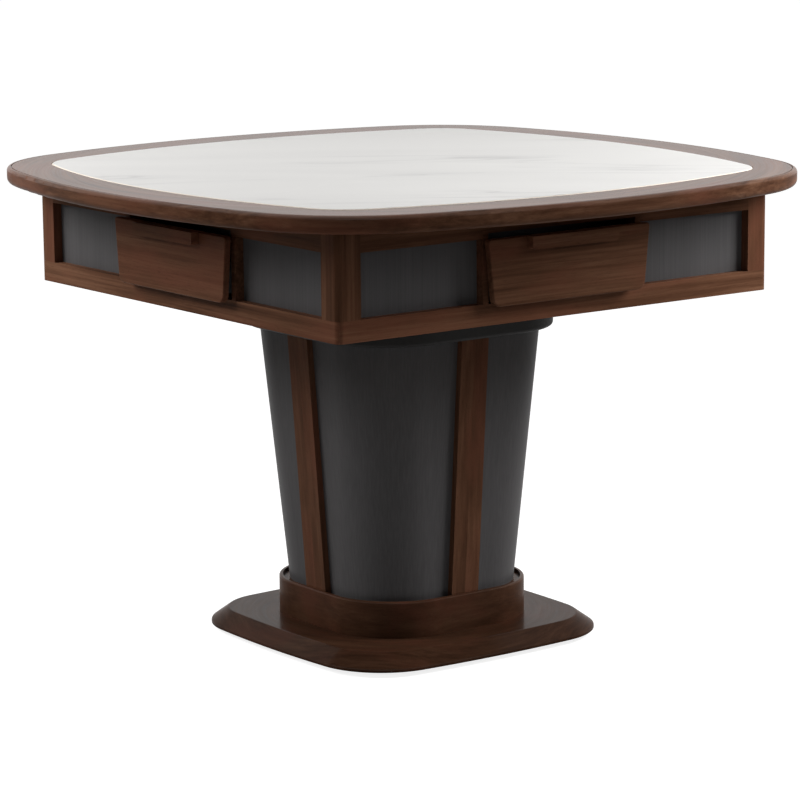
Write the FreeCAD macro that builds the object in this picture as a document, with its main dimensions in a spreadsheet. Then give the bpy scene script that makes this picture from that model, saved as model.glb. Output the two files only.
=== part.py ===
import FreeCAD, Part
import Sketcher
import math
import os
import re

# Automatic mahjong table with a lift-off dining cover.
# Millimetres, +Z up, origin on the floor under the middle of the base.
# The front is the -Y side; the four sides are alike, turned a quarter turn each.

# Driving sizes

SIZES = {
    # base on the floor
    "glide_radius": 20,
    "glide_thickness": 3,
    "glide_inset": 32,
    "glide_corner_share": 0.72,
    "weight_thickness": 5,
    "weight_inset": 40,
    "base_half": 259,
    "base_side_radius": 1970,
    "base_corner_radius": 118,
    "base_edge_height": 5,
    "base_bevel_height": 20,
    "base_bevel_run": 28,
    # pedestal
    "collar_height": 58,
    "collar_wall": 17,
    "collar_ledge_depth": 5,
    "collar_bore_gap": 3,
    "collar_edge_round": 3,
    "collar_seam": 72,
    "column_height": 412.5,
    "column_foot_half": 157,
    "column_head_half": 187,
    "column_corner_radius": 100,
    "column_panel_thickness": 9,
    "strip_width": 52,
    "strip_proud": 10.5,
    "strip_clearance": 0.5,
    "core_half": 70,
    "core_wall": 4,
    "core_flange_thickness": 6,
    "core_foot_flange_half": 108,
    "core_head_flange_half": 140,
    "head_height": 61.5,
    "head_overhang": 21.5,
    "head_wall": 3,
    "head_floor_thickness": 4,
    "head_flange_width": 22,
    "head_edge_round": 6,
    "cable_hole_radius": 30,
    # case
    "case_half": 409.5,
    "post_width": 40.5,
    "post_round": 10,
    "rail_depth": 22,
    "bottom_rail_height": 32,
    "opening_height": 96,
    "top_rail_height": 33,
    "floor_thickness": 12,
    "panel_recess": 15,
    "panel_thickness": 6,
    # drawers
    "front_foot_half": 143.5,
    "front_head_half": 153.5,
    "front_height": 100,
    "front_lap": 3,
    "front_thickness": 10,
    "front_gap": 9,
    "front_foot_round": 14,
    "front_head_round": 5,
    "front_edge_round": 2,
    "pull_half": 82,
    "pull_height": 19,
    "pull_proud": 13,
    "pull_round": 6,
    "surround_half": 150,
    "surround_wall": 10,
    "surround_head": 4,
    "surround_rise": 12,
    "drawer_half": 126,
    "drawer_back_gap": 59,
    "drawer_height": 45,
    "drawer_wall": 3,
    "drawer_lift": 8,
    "runner_length": 111.5,
    "runner_width": 14,
    "runner_lip": 3,
    "runner_lip_height": 12,
    "runner_side_gap": 0.8,
    "running_gap": 0.3,
    # playing board
    "board_thickness": 12,
    "felt_thickness": 1.2,
    "board_recess": 14.8,
    "board_gap": 0.5,
    "support_width": 24,
    "slot_half_length": 224,
    "slot_width": 44,
    "slot_corner_web": 33,
    "console_hole_radius": 126,
    # tile lifts
    "lift_clearance": 1,
    "lift_thickness": 4,
    "lift_travel": 44,
    "lift_stem_radius": 6,
    "lift_stem_offset": 180,
    "lift_floor_gap": 10.2,
    "guide_radius": 10,
    "well_wall": 2,
    "well_depth": 38,
    "guide_foot_radius": 16,
    "guide_foot_thickness": 4,
    "lift_motor_width": 36,
    "lift_motor_height": 48,
    "running_fit": 0.05,
    # shuffling drum
    "drum_radius": 211,
    "drum_lift": 20,
    "drum_disc_thickness": 5,
    "drum_hub_radius": 52,
    "drum_hub_tip_radius": 46,
    "drum_hub_height": 46,
    "drum_skirt_radius": 150,
    "drum_skirt_wall": 5,
    "drum_skirt_drop": 12,
    "drum_rib_length": 90,
    "drum_rib_width": 10,
    "drum_rib_height": 4,
    "bearing_flange_radius": 70,
    "bearing_flange_thickness": 8,
    "bearing_radius": 40,
    "bearing_height": 68,
    "housing_gap": 3,
    "housing_wall": 3,
    "housing_height": 76,
    "window_width": 36,
    "window_sill": 26,
    "roller_radius": 15,
    "roller_height": 12,
    "motor_radius": 25,
    "motor_height": 48,
    "motor_plate_half": 30,
    "motor_plate_thickness": 4,
    "motor_shaft_radius": 4,
    "shaft_clearance": 4,
    # magnetic pick-up wheels
    "wheel_radius": 40,
    "wheel_width": 24,
    "wheel_orbit": 252,
    "wheel_level": 68,
    "wheel_web": 8,
    "wheel_hub_radius": 8.5,
    "magnet_radius": 5,
    "magnet_depth": 6,
    "wheel_motor_radius": 17,
    "wheel_motor_length": 46,
    "wheel_motor_gap": 1.5,
    "wheel_bracket_width": 20,
    # console
    "console_radius": 124,
    "console_proud": 3,
    "console_plate_thickness": 6,
    "console_skirt_radius": 90,
    "console_skirt_wall": 3,
    "console_skirt_drop": 26,
    "dice_well_wall": 3,
    "stem_radius": 18,
    "stem_reserve": 7.2,
    "console_travel": 60,
    "dice_well_radius": 36,
    "dice_well_depth": 15,
    "dice_disc_radius": 34,
    "dice_disc_thickness": 3,
    "dice_axle_radius": 3,
    "dice_axle_length": 9,
    "die_side": 11,
    "die_offset": 11,
    "die_round": 1.5,
    "dome_radius": 40,
    "dome_height": 9,
    "dome_wall": 2.5,
    "dome_shoulder": 5,
    "button_length": 40,
    "button_width": 16,
    "button_travel": 2,
    "button_clearance": 0.5,
    "button_offset": 66,
    "button_depth": 7,
    # electrics in the pedestal head
    "supply_length": 110,
    "supply_width": 62,
    "supply_height": 46,
    "supply_offset": 92,
    "control_length": 84,
    "control_width": 120,
    "control_height": 34,
    "control_offset": 132,
    "console_motor_length": 44,
    "console_motor_width": 50,
    "console_motor_height": 50,
    "inlet_length": 52,
    "inlet_height": 28,
    "inlet_depth": 26,
    "inlet_flange": 4,
    "inlet_flange_thickness": 2.5,
    "socket_length": 24,
    "socket_height": 16,
    "socket_depth": 16,
    "socket_offset": 11,
    "switch_length": 13,
    "switch_height": 20,
    "switch_offset": 16,
    "switch_clearance": 0.8,
    "switch_depth": 10,
    "switch_proud": 2.2,
    "switch_pin_radius": 1.2,
    # fasteners
    "bolt_radius": 4,
    "bolt_hole_clearance": 0.5,
    "bolt_head_radius": 7,
    "bolt_head_height": 5,
    "foot_bolt_offset": 92,
    "foot_bolt_length": 34,
    "head_bolt_offset": 112,
    "head_bolt_length": 10,
    "floor_bolt_offset": 195,
    "floor_bolt_spacing": 120,
    "floor_bolt_length": 11,
    # dining cover
    "locator_thickness": 1.5,
    "locator_length": 50,
    "locator_lip": 20,
    "locator_drop": 8,
    "locator_gap": 1,
    "cover_thickness": 27.5,
    "cover_overhang": 130.5,
    "cover_side_radius": 1275,
    "cover_corner_radius": 228,
    "cover_bulge": 6.5,
    "cover_top_round": 6,
    "cover_foot_round": 10,
    "cover_seam": 300,
    "quirk_width": 1.6,
    "quirk_depth": 1.2,
    "stone_thickness": 12,
    "rim_width": 72,
    "stone_side_radius": 1212,
    "stone_corner_radius": 87,
    "stone_gap": 0.3,
    "stone_proud": 0.8,
    "stone_edge_bevel": 2,
}

# Levels and spans worked out from the driving sizes

DERIVED = {
    "base_underside": "glide_thickness + weight_thickness",
    "base_edge_top": "base_underside + base_edge_height",
    "base_top": "base_edge_top + base_bevel_height",
    "collar_top": "base_top + collar_height",
    "column_foot": "collar_top - collar_ledge_depth",
    "column_head": "column_foot + column_height",
    "case_bottom": "column_head + head_height",
    "floor_top": "case_bottom + floor_thickness",
    "opening_bottom": "case_bottom + bottom_rail_height",
    "opening_top": "opening_bottom + opening_height",
    "case_top": "opening_top + top_rail_height",
    "cover_bottom": "case_top + locator_thickness",
    "cover_top": "cover_bottom + cover_thickness",
    "stone_bottom": "cover_top - stone_thickness",
    "rim_top": "cover_top - stone_proud",
    "cover_half": "case_half + cover_overhang",
    "stone_half": "cover_half - rim_width",
    "rail_inner": "case_half - rail_depth",
    "post_inner": "case_half - post_width",
    "head_half": "column_head_half + head_overhang",
    "head_corner_radius": "column_corner_radius + head_overhang",
    "collar_half": "column_foot_half + collar_wall",
    "collar_bore_half": "core_foot_flange_half + collar_bore_gap",
    "collar_corner_radius": "column_corner_radius + collar_wall",
    "head_inside": "column_head + head_floor_thickness",
    "front_bottom": "opening_bottom - front_lap",
    "front_top": "front_bottom + front_height",
    "front_back": "case_half + front_gap",
    "front_face": "front_back + front_thickness",
    "drawer_bottom": "opening_bottom + drawer_lift",
    "drawer_top": "drawer_bottom + drawer_height",
    "felt_top": "case_top - board_recess",
    "board_top": "felt_top - felt_thickness",
    "board_bottom": "board_top - board_thickness",
    "well_bottom": "board_bottom - well_depth",
    "drum_underside": "floor_top + drum_lift",
    "drum_floor": "drum_underside + drum_disc_thickness",
    "drum_seat": "floor_top + bearing_flange_thickness",
    "slot_radius": "slot_half_length + slot_width / 2 + slot_corner_web",
    "lift_stem_length": "felt_top - lift_thickness - lift_travel - lift_floor_gap - floor_top",
    "console_top": "felt_top + console_proud",
    "console_underside": "console_top - console_plate_thickness",
    "skirt_bottom": "console_underside - console_skirt_drop",
    "stem_length": "skirt_bottom + console_travel - stem_reserve - floor_top",
    "dice_floor": "console_top - dice_well_depth",
    "button_proud": "button_travel + button_clearance",
    "housing_radius": "drum_radius + housing_gap",
    "drawer_depth": "front_back - housing_radius - housing_wall - drawer_back_gap",
    "roller_orbit": "drum_skirt_radius - roller_radius",
    "wheel_axle_level": "floor_top + wheel_level",
}

doc = FreeCAD.newDocument("mahjong_table")
sheet = doc.addObject("Spreadsheet::Sheet", "Sheet")


def fill_sheet():
    """Write the driving sizes as plain numbers and the derived ones as formulas."""
    rows = [(alias, str(number)) for alias, number in SIZES.items()]
    rows += [(alias, "=" + formula) for alias, formula in DERIVED.items()]
    for row, (alias, content) in enumerate(rows, start=1):
        sheet.set(f"A{row}", alias)
        sheet.set(f"B{row}", content)
        sheet.setAlias(f"B{row}", alias)
    doc.recompute()


fill_sheet()


def size(alias):
    """A size read back from the sheet as a plain number."""
    return float(sheet.get(alias))


def linked(text):
    """The same expression with each alias pointing at the sheet."""
    def point(found):
        word = found.group(0)
        return "Sheet." + word if word in SIZES or word in DERIVED else word
    return re.sub(r"[a-z_]+", point, text)


def bind(item, **expressions):
    """Tie properties of an object to expressions in sheet aliases."""
    for name, text in expressions.items():
        item.setExpression(name, linked(text))


def put(item, x, y, z):
    """Tie an object's position to expressions; a plain 0 stays free."""
    for name, text in (("x", x), ("y", y), ("z", z)):
        if text != "0":
            item.setExpression("Placement.Base." + name, linked(text))


# Building blocks

def box(name, length, width, height, x, y, z):
    """A block given by its sizes and its lowest corner."""
    item = doc.addObject("Part::Box", name)
    bind(item, Length=length, Width=width, Height=height)
    put(item, x, y, z)
    return item


def block(name, half_x, half_y, height, x, y, z):
    """A block centred on x and y, standing on z."""
    return box(name, f"2 * ({half_x})", f"2 * ({half_y})", height,
               f"({x}) - ({half_x})", f"({y}) - ({half_y})", z)


def rod(name, radius, height, x, y, z, axis=None):
    """A cylinder from x, y, z along +Z or along the given axis."""
    item = doc.addObject("Part::Cylinder", name)
    bind(item, Radius=radius, Height=height)
    if axis is not None:
        item.Placement = FreeCAD.Placement(
            FreeCAD.Vector(), FreeCAD.Rotation(FreeCAD.Vector(0, 0, 1), axis))
    put(item, x, y, z)
    return item


def joined(name, *items):
    item = doc.addObject("Part::MultiFuse", name)
    item.Shapes = list(items)
    return item


def less(name, base, *tools):
    """The base with one or more tools cut out of it."""
    item = doc.addObject("Part::Cut", name)
    item.Base = base
    item.Tool = tools[0] if len(tools) == 1 else joined(name + "_tools", *tools)
    return item


def grouped(name, *items):
    item = doc.addObject("Part::Compound", name)
    item.Links = list(items)
    return item


def shaped(name, shape):
    """A piece whose outline is made of arcs, built from sheet values."""
    item = doc.addObject("Part::Feature", name)
    item.Shape = shape
    return item


def turned(item, quarter):
    """Turn a finished piece about the table's axis by quarter turns."""
    item.Placement = FreeCAD.Placement(
        FreeCAD.Vector(), FreeCAD.Rotation(FreeCAD.Vector(0, 0, 1), 90 * quarter))
    return item


SIDES = ("front", "right", "back", "left")
UP = FreeCAD.Vector(0, 0, 1)
nodes = []


def node(label, item):
    """Name a finished piece and keep it for the export."""
    item.Label = label
    nodes.append(item)
    return item


def ring_of_four(label, make, *extra):
    """Four copies of one piece, a quarter turn apart, kept in one node."""
    copies = list(extra)
    for quarter, side in enumerate(SIDES):
        copies.append(turned(grouped(f"{label}_{side}", make(f"{label}_{side}")), quarter))
    return node(label, grouped(label + "_set", *copies))


def one_per_side(label, make):
    """Four copies of one piece, a quarter turn apart, each in its own node."""
    for quarter, side in enumerate(SIDES):
        name = f"{label}_{side}"
        node(name, turned(grouped(name + "_piece", make(name + "_form")), quarter))


# Outlines

def vector(x, y, z=0.0):
    return FreeCAD.Vector(x, y, z)


def arc(centre, radius, first, last, level):
    """An arc about +Z between two angles in radians."""
    middle = (first + last) / 2
    points = []
    for angle in (first, middle, last):
        points.append(vector(centre[0] + radius * math.cos(angle),
                             centre[1] + radius * math.sin(angle), level))
    return Part.Arc(*points).toShape()


def bowed_outline(half, side_radius, corner_radius, level):
    """Square with sides bowed outwards and round corners, as one closed wire."""
    centre = half - side_radius
    reach = side_radius - corner_radius
    corner = (centre + math.sqrt(2 * reach ** 2 - centre ** 2)) / 2
    swing = math.atan2(corner, corner - centre)
    quarter = math.pi / 2
    edges = []
    for index in range(4):
        turn = index * quarter
        cos, sin = math.cos(turn), math.sin(turn)
        side_centre = (centre * cos, centre * sin)
        corner_centre = (corner * cos - corner * sin, corner * sin + corner * cos)
        edges.append(arc(side_centre, side_radius, turn - swing, turn + swing, level))
        edges.append(arc(corner_centre, corner_radius,
                         turn + swing, turn + quarter - swing, level))
    return Part.Wire(edges)


def square_outline(half, corner_radius, level):
    """Square with straight sides and round corners, as one closed wire."""
    flat = half - corner_radius
    quarter = math.pi / 2
    edges = []
    for index in range(4):
        turn = index * quarter
        cos, sin = math.cos(turn), math.sin(turn)
        start = vector(half * cos + flat * sin, half * sin - flat * cos, level)
        end = vector(half * cos - flat * sin, half * sin + flat * cos, level)
        edges.append(Part.LineSegment(start, end).toShape())
        corner_centre = (flat * cos - flat * sin, flat * sin + flat * cos)
        edges.append(arc(corner_centre, corner_radius, turn, turn + quarter, level))
    return Part.Wire(edges)


def prism(outline, height):
    return Part.Face(outline).extrude(UP * height)


def tapered(lower, upper):
    """Solid with straight rulings between two outlines of like edges."""
    return Part.makeLoft([lower, upper], True, True)


def near(first, second):
    """Whether two lengths agree within a fit."""
    return abs(first - second) < size("running_fit")


def flat_edges(shape, level):
    """Edges that lie wholly at one level."""
    return [edge for edge in shape.Edges
            if near(edge.BoundBox.ZMin, level) and near(edge.BoundBox.ZMax, level)]


# Sketched pieces

def origin_plane(body, role):
    return next(item for item in body.Origin.OriginFeatures if item.Role == role)


def sketch(body, role, points, offset="0"):
    """Closed outline of straight lines whose corners follow sheet expressions."""
    drawing = body.newObject("Sketcher::SketchObject", body.Name + "_sketch")
    drawing.AttachmentSupport = (origin_plane(body, role), [""])
    drawing.MapMode = "FlatFace"
    if offset != "0":
        drawing.setExpression("AttachmentOffset.Base.z", linked(offset))
    count = len(points)
    start = []
    for index in range(count):
        angle = 2 * math.pi * index / count
        start.append(vector(math.cos(angle), math.sin(angle)) * size("case_half"))
    for index in range(count):
        drawing.addGeometry(Part.LineSegment(start[index], start[(index + 1) % count]), False)
    for index in range(count):
        drawing.addConstraint(Sketcher.Constraint("Coincident", index, 2, (index + 1) % count, 1))
    for index, place in enumerate(points):
        for kind, text, guess in zip(("DistanceX", "DistanceY"), place, start[index]):
            fixed = text == "0"
            number = drawing.addConstraint(
                Sketcher.Constraint(kind, -1, 1, index, 1, 0.0 if fixed else guess))
            if not fixed:
                drawing.setExpression(f"Constraints[{number}]", linked(text))
    return drawing


def padded(name, role, points, offset, length):
    """A body made by padding one straight-sided outline."""
    body = doc.addObject("PartDesign::Body", name)
    pad = body.newObject("PartDesign::Pad", name + "_pad")
    pad.Profile = sketch(body, role, points, offset)
    pad.setExpression("Length", linked(length))
    body.Tip = pad
    return body


def pocketed(body, role, points, offset, depth):
    """Cut a straight-sided pocket into a body, down from the offset plane."""
    pocket = body.newObject("PartDesign::Pocket", body.Name + "_pocket")
    pocket.Profile = sketch(body, role, points, offset)
    pocket.setExpression("Length", linked(depth))
    body.Tip = pocket
    return body


def revolved(name, points):
    """A body of revolution about the table's axis, from (radius, level) corners."""
    body = doc.addObject("PartDesign::Body", name)
    spin = body.newObject("PartDesign::Revolution", name + "_revolution")
    spin.Profile = sketch(body, "XZ_Plane", points)
    spin.ReferenceAxis = (spin.Profile[0], ["V_Axis"])
    spin.Angle = 360
    body.Tip = spin
    return body


def rounded(body, radius, test):
    """Fillet the edges of a body whose middle point passes the test."""
    doc.recompute()
    names = []
    for number, edge in enumerate(body.Shape.Edges, start=1):
        middle = edge.valueAt((edge.FirstParameter + edge.LastParameter) / 2)
        if test(middle, edge.BoundBox):
            names.append(f"Edge{number}")
    base = body.Tip
    fillet = body.newObject("PartDesign::Fillet", body.Name + "_fillet")
    fillet.Base = (base, names)
    fillet.setExpression("Radius", linked(radius))
    body.Tip = fillet
    return body


def rectangle(low_x, low_y, high_x, high_y):
    return [(low_x, low_y), (high_x, low_y), (high_x, high_y), (low_x, high_y)]


# Base on the floor

def base_outline(inset, level):
    return bowed_outline(size("base_half") - inset, size("base_side_radius") - inset,
                         size("base_corner_radius") - inset, level)


def upright_hole(radius, x, y, low, high):
    return Part.makeCylinder(radius, high - low, vector(x, y, low))


def corner_places(offset):
    return [(x * offset, y * offset) for x in (-1, 1) for y in (-1, 1)]


def bolt_holes(offset, low, high):
    radius = size("bolt_radius") + size("bolt_hole_clearance")
    return [upright_hole(radius, x, y, low, high) for x, y in corner_places(offset)]


def base_plate():
    run = size("base_bevel_run")
    low, edge, top = size("base_underside"), size("base_edge_top"), size("base_top")
    slab = prism(base_outline(0, low), edge - low)
    bevel = tapered(base_outline(0, edge), base_outline(run, top))
    holes = bolt_holes(size("foot_bolt_offset"), low, top)
    holes.append(upright_hole(size("cable_hole_radius"), 0, 0, low, top))
    return slab.fuse(bevel).removeSplitter().cut(holes)


def base_weight():
    low, high = size("glide_thickness"), size("base_underside")
    plate = prism(base_outline(size("weight_inset"), low), high - low)
    return plate.cut(bolt_holes(size("foot_bolt_offset"), low, high))


def base_glides():
    middle = "base_half - weight_inset - glide_inset"
    corner = "glide_corner_share * (base_half - weight_inset)"
    places = [(middle, "0"), (f"-({middle})", "0"), ("0", middle), ("0", f"-({middle})")]
    places += [(f"{x} * {corner}", f"{y} * {corner}") for x in ("1", "-1") for y in ("1", "-1")]
    discs = []
    for number, (x, y) in enumerate(places, start=1):
        discs.append(rod(f"glide_{number}", "glide_radius", "glide_thickness", x, y, "0"))
    return grouped("glides", *discs)


node("base_plate", shaped("base_plate_form", base_plate()))
node("base_weight", shaped("base_weight_form", base_weight()))
node("base_glides", base_glides())


# Pedestal

def segmented(ring, seam, low, high):
    """A ring parted near its corners into four side pieces and four corner blocks."""
    reach = 2 * size("cover_half")
    pieces = []
    for turn in range(4):
        side_span = Part.makeBox(2 * seam, reach, high - low, vector(-seam, 0, low))
        corner_span = Part.makeBox(reach, reach, high - low, vector(seam, seam, low))
        for span in (side_span, corner_span):
            span.rotate(vector(0, 0), UP, 90 * turn)
            pieces.append(ring.common(span))
    return Part.makeCompound(pieces)


def collar_ring():
    low, high = size("base_top"), size("collar_top")
    ring = prism(square_outline(size("collar_half"), size("collar_corner_radius"), low), high - low)
    ring = ring.makeFillet(size("collar_edge_round"), flat_edges(ring, high))
    bore_half = size("collar_bore_half")
    bore = Part.makeBox(2 * bore_half, 2 * bore_half, high - low, vector(-bore_half, -bore_half, low))
    step = size("strip_proud") + size("strip_clearance")
    ledge = prism(square_outline(size("column_foot_half") + step,
                                 size("column_corner_radius") + step, size("column_foot")),
                  size("collar_ledge_depth"))
    return segmented(ring.cut([bore, ledge]), size("collar_seam"), low, high)


def column_core():
    foot_plate = block("core_foot_plate", "core_foot_flange_half", "core_foot_flange_half",
                       "core_flange_thickness", "0", "0", "base_top")
    head_plate = block("core_head_plate", "core_head_flange_half", "core_head_flange_half",
                       "core_flange_thickness", "0", "0", "column_head - core_flange_thickness")
    tube = block("core_tube", "core_half", "core_half", "column_head - base_top", "0", "0", "base_top")
    hollow = block("core_hollow", "core_half - core_wall", "core_half - core_wall",
                   "column_head - base_top", "0", "0", "base_top")
    holes = []
    hole = "bolt_radius + bolt_hole_clearance"
    for plate, offset, level in (("foot", "foot_bolt_offset", "base_top"),
                                 ("head", "head_bolt_offset", "column_head - core_flange_thickness")):
        for number, (x, y) in enumerate(corner_places(1), start=1):
            holes.append(rod(f"core_{plate}_hole_{number}", hole, "core_flange_thickness",
                             f"{x} * {offset}", f"{y} * {offset}", level))
    solid = joined("core_solid", foot_plate, head_plate, tube)
    return less("core_piece", solid, hollow, *holes)


def column_outline(inset, part):
    level = size("column_" + part)
    return square_outline(size(f"column_{part}_half") - inset,
                          size("column_corner_radius") - inset, level)


def column_panels():
    """Four corner shells; the strips fill the slots between them."""
    wall = size("column_panel_thickness")
    shell = tapered(column_outline(0, "foot"), column_outline(0, "head"))
    shell = shell.cut(tapered(column_outline(wall, "foot"), column_outline(wall, "head")))
    half, reach = size("strip_width") / 2, size("case_half")
    low, tall = size("column_foot"), size("column_height")
    slots = [Part.makeBox(2 * half, 2 * reach, tall, vector(-half, -reach, low)),
             Part.makeBox(2 * reach, 2 * half, tall, vector(-reach, -half, low))]
    return shell.cut(slots)


def column_strip(name):
    inner, outer = "column_panel_thickness", "strip_proud"
    profile = [(f"-(column_foot_half - {inner})", "column_foot"),
               (f"-(column_foot_half + {outer})", "column_foot"),
               (f"-(column_head_half + {outer})", "column_head"),
               (f"-(column_head_half - {inner})", "column_head")]
    return padded(name, "YZ_Plane", profile, "-strip_width / 2", "strip_width")


def head_outline(inset, level):
    return square_outline(size("head_half") - inset, size("head_corner_radius") - inset, level)


def floor_bolt_places():
    offset, half = size("floor_bolt_offset"), size("floor_bolt_spacing") / 2
    places = []
    for sign in (-1, 1):
        for side in (-half, half):
            places += [(side, sign * offset), (sign * offset, side)]
    return places


def pedestal_head():
    """Open-topped steel box between the column and the case."""
    low, high = size("column_head"), size("case_bottom")
    wall, flange = size("head_wall"), size("head_flange_width")
    box_form = prism(head_outline(0, low), high - low)
    box_form = box_form.makeFillet(size("head_edge_round"), flat_edges(box_form, low))
    inside = prism(head_outline(wall, size("head_inside")), high - wall - size("head_inside"))
    mouth = prism(head_outline(flange, high - wall), wall)
    hole = size("bolt_radius") + size("bolt_hole_clearance")
    holes = [upright_hole(hole, x, y, high - wall, high) for x, y in floor_bolt_places()]
    holes += bolt_holes(size("head_bolt_offset"), low, size("head_inside"))
    holes.append(upright_hole(size("cable_hole_radius"), 0, 0, low, size("head_inside")))
    half_x, half_z = size("inlet_length") / 2, size("inlet_height") / 2
    middle = (low + high) / 2
    holes.append(Part.makeBox(2 * half_x, 2 * wall, 2 * half_z,
                              vector(-half_x, size("head_half") - 2 * wall, middle - half_z)))
    return box_form.cut([inside, mouth] + holes)


node("collar_ring", shaped("collar_form", collar_ring()))
node("column_core", column_core())
node("column_panels", shaped("column_panels_form", column_panels()))
ring_of_four("column_strips", column_strip)
node("pedestal_head", shaped("pedestal_head_form", pedestal_head()))


# Case

def case_floor():
    """Board closed in by the bottom rails, with holes for the stem, shaft and bolts."""
    slab = block("floor_slab", "rail_inner", "rail_inner", "floor_thickness", "0", "0", "case_bottom")
    tools = [rod("floor_stem_hole", "stem_radius + shaft_clearance", "floor_thickness",
                 "0", "0", "case_bottom"),
             rod("floor_shaft_hole", "motor_shaft_radius + shaft_clearance", "floor_thickness",
                 "roller_orbit", "0", "case_bottom")]
    for number, (x, y) in enumerate(corner_places(1), start=1):
        for turn, (across, along) in enumerate((("floor_bolt_spacing / 2", "floor_bolt_offset"),
                                                ("floor_bolt_offset", "floor_bolt_spacing / 2"))):
            tools.append(rod(f"floor_hole_{number}_{turn}", "bolt_radius + bolt_hole_clearance",
                             "floor_thickness", f"{x} * {across}", f"{y} * {along}", "case_bottom"))
    return less("floor_piece", slab, *tools)


def corner_post(name):
    """Post at the front left corner, its outer edge rounded."""
    plan = rectangle("-case_half", "-case_half", "-post_inner", "-post_inner")
    body = padded(name, "XY_Plane", plan, "opening_bottom", "case_top - opening_bottom")
    outer = -size("case_half")
    return rounded(body, "post_round",
                   lambda middle, span: near(span.XMax, outer) and near(span.YMax, outer))


def bottom_rails():
    """Four mitred rails round the foot of the case."""
    half, inner = size("case_half"), size("rail_inner")
    low, tall = size("case_bottom"), size("bottom_rail_height")
    ring = prism(square_outline(half, size("post_round"), low), tall)
    ring = ring.cut(Part.makeBox(2 * inner, 2 * inner, tall, vector(-inner, -inner, low)))
    corners = [vector(0, 0, low), vector(-2 * half, -2 * half, low), vector(2 * half, -2 * half, low)]
    wedge = Part.Face(Part.makePolygon(corners + corners[:1])).extrude(UP * tall)
    rails = []
    for quarter in range(4):
        cutter = wedge.copy()
        cutter.rotate(vector(0, 0), UP, 90 * quarter)
        rails.append(ring.common(cutter))
    return Part.makeCompound(rails)


SURROUND_TOP = "opening_top + surround_rise"
SURROUND_CEILING = "opening_top + surround_rise - surround_head"


def top_rail(name):
    """Rail between two posts, notched over the drawer."""
    outline = [("-post_inner", "opening_top"),
               ("-surround_half", "opening_top"),
               ("-surround_half", SURROUND_TOP),
               ("surround_half", SURROUND_TOP),
               ("surround_half", "opening_top"),
               ("post_inner", "opening_top"),
               ("post_inner", "case_top"),
               ("-post_inner", "case_top")]
    return padded(name, "XZ_Plane", outline, "rail_inner", "rail_depth")


def apron_panel_pair(name):
    """Two recessed panels, one each side of the drawer."""
    pair = []
    for sign, side in (("", "right"), ("-", "left")):
        outline = rectangle(f"{sign}surround_half", "opening_bottom",
                            f"{sign}post_inner", "opening_top")
        pair.append(padded(f"{name}_{side}", "XZ_Plane", outline,
                           "case_half - panel_recess - panel_thickness", "panel_thickness"))
    return grouped(name + "_pair", *pair)


def drawer_surround(name):
    """Cheeks and a head round the drawer's opening, open at the foot."""
    outer, inner = "surround_half", "(surround_half - surround_wall)"
    outline = [(f"-{outer}", "opening_bottom"), (f"-{outer}", SURROUND_TOP),
               (outer, SURROUND_TOP), (outer, "opening_bottom"),
               (inner, "opening_bottom"), (inner, SURROUND_CEILING),
               (f"-{inner}", SURROUND_CEILING), (f"-{inner}", "opening_bottom")]
    return padded(name, "XZ_Plane", outline, "case_half - panel_recess - panel_thickness",
                  "panel_recess + panel_thickness")


def runner_pair(name):
    """Two angle runners that carry and guide one drawer."""
    bars = []
    for side in ("right", "left"):
        inner_edge = "drawer_half + runner_side_gap - runner_width"
        outer_edge = "drawer_half + runner_side_gap"
        tread = [inner_edge, "runner_width", "drawer_bottom - running_gap - floor_top"]
        lip = [outer_edge, "runner_lip", "drawer_bottom + runner_lip_height - floor_top"]
        forms = []
        for form, (start, width, height) in (("tread", tread), ("lip", lip)):
            low_x = start if side == "right" else f"-({start}) - {width}"
            forms.append(box(f"{name}_{side}_{form}", width, "runner_length", height,
                             low_x, "-rail_inner", "floor_top"))
        bars.append(joined(f"{name}_{side}_bar", *forms))
    return grouped(name + "_pair", *bars)


node("case_floor", case_floor())
ring_of_four("corner_posts", corner_post)
node("bottom_rails", shaped("bottom_rails_form", bottom_rails()))
ring_of_four("top_rails", top_rail)
ring_of_four("apron_panels", apron_panel_pair)
ring_of_four("drawer_surrounds", drawer_surround)
ring_of_four("drawer_runners", runner_pair)


# Drawers

def drawer_front(name):
    """Slanted front plate with its pull bar glued on at the top."""
    outline = [("-front_foot_half", "front_bottom"), ("front_foot_half", "front_bottom"),
               ("front_head_half", "front_top"), ("-front_head_half", "front_top")]
    plate = padded(name + "_plate", "XZ_Plane", outline, "front_back", "front_thickness")
    low, high = size("front_bottom"), size("front_top")
    plate = rounded(plate, "front_foot_round",
                    lambda middle, span: near(span.ZMax, low) and near(span.XMin, span.XMax))
    plate = rounded(plate, "front_head_round",
                    lambda middle, span: near(span.ZMin, high) and near(span.XMin, span.XMax))
    face = -size("front_face")
    plate = rounded(plate, "front_edge_round",
                    lambda middle, span: near(span.YMin, face) and near(span.YMax, face))
    pull_outline = rectangle("-pull_half", "front_top - pull_height", "pull_half", "front_top")
    pull = padded(name + "_pull", "XZ_Plane", pull_outline, "front_face", "pull_proud")
    foot = size("front_top") - size("pull_height")
    pull = rounded(pull, "pull_round",
                   lambda middle, span: near(span.ZMax, foot) and near(span.XMin, span.XMax))
    return grouped(name + "_parts", plate, pull)


def drawer_box(name):
    """Open-topped tray behind the front plate."""
    back = "-(front_back - drawer_depth)"
    plan = rectangle("-drawer_half", "-front_back", "drawer_half", back)
    body = padded(name, "XY_Plane", plan, "drawer_bottom", "drawer_height")
    inside = rectangle("-(drawer_half - drawer_wall)", "-(front_back - drawer_wall)",
                       "drawer_half - drawer_wall", f"{back} - drawer_wall")
    return pocketed(body, "XY_Plane", inside, "drawer_top", "drawer_height - drawer_wall")


one_per_side("drawer_front", drawer_front)
one_per_side("drawer_box", drawer_box)


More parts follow.
